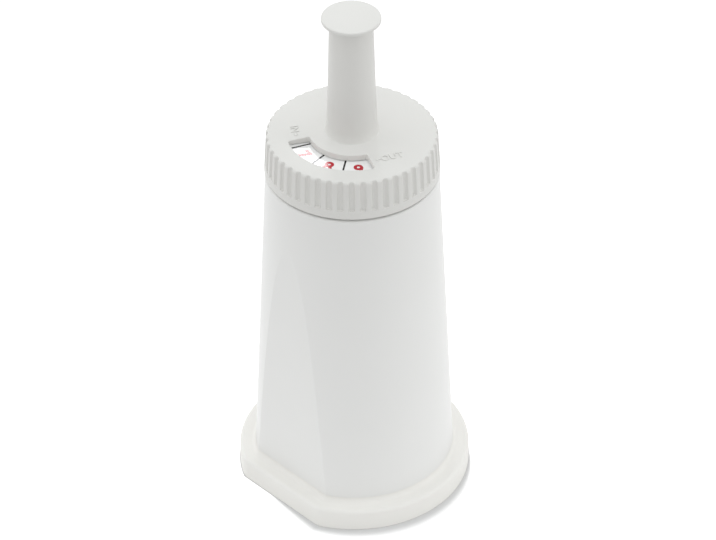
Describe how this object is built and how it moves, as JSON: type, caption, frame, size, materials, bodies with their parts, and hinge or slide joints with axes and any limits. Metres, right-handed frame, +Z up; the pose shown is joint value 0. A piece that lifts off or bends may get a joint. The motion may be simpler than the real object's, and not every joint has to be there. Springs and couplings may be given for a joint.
{
  "type": "coffee machine water filter",
  "caption": "Tapered water filter cartridge with a flat side, a soft base seal and an outlet socket, and on top a turning fluted month dial with a window and a grip stem.",
  "frame": {"origin": "on the axis at the surface the base seal stands on", "axes": "+Z up along the axis towards the grip, -Y out of the flat side"},
  "size_m": [0.0574, 0.0542, 0.133],
  "materials": {
    "white_plastic": "satin moulded, white",
    "cream_seal": "soft matt, off-white",
    "dark_rubber": "matt black",
    "fleece": "white felt",
    "granulate": "amber and black grains",
    "printed_white": "white with printed numbers",
    "grey_plastic": "satin moulded, light grey"
  },
  "bodies": {
    "cartridge": {"housing": "white_plastic", "base_cover": "white_plastic", "base_seal": "cream_seal", "socket_o_ring": "dark_rubber", "outlet_tube": "white_plastic", "lower_fleece": "fleece", "resin_bed": "granulate", "upper_fleece": "fleece", "upper_sieve": "white_plastic", "month_ring": "printed_white"},
    "dial": {"dial_cap": "grey_plastic"}
  },
  "joints": [
    {"name": "dial_turn", "type": "hinge", "parent": "cartridge", "child": "dial", "pos_m": [0, 0, 0.1], "axis": [0, 0, 1], "continuous": true}
  ]
}
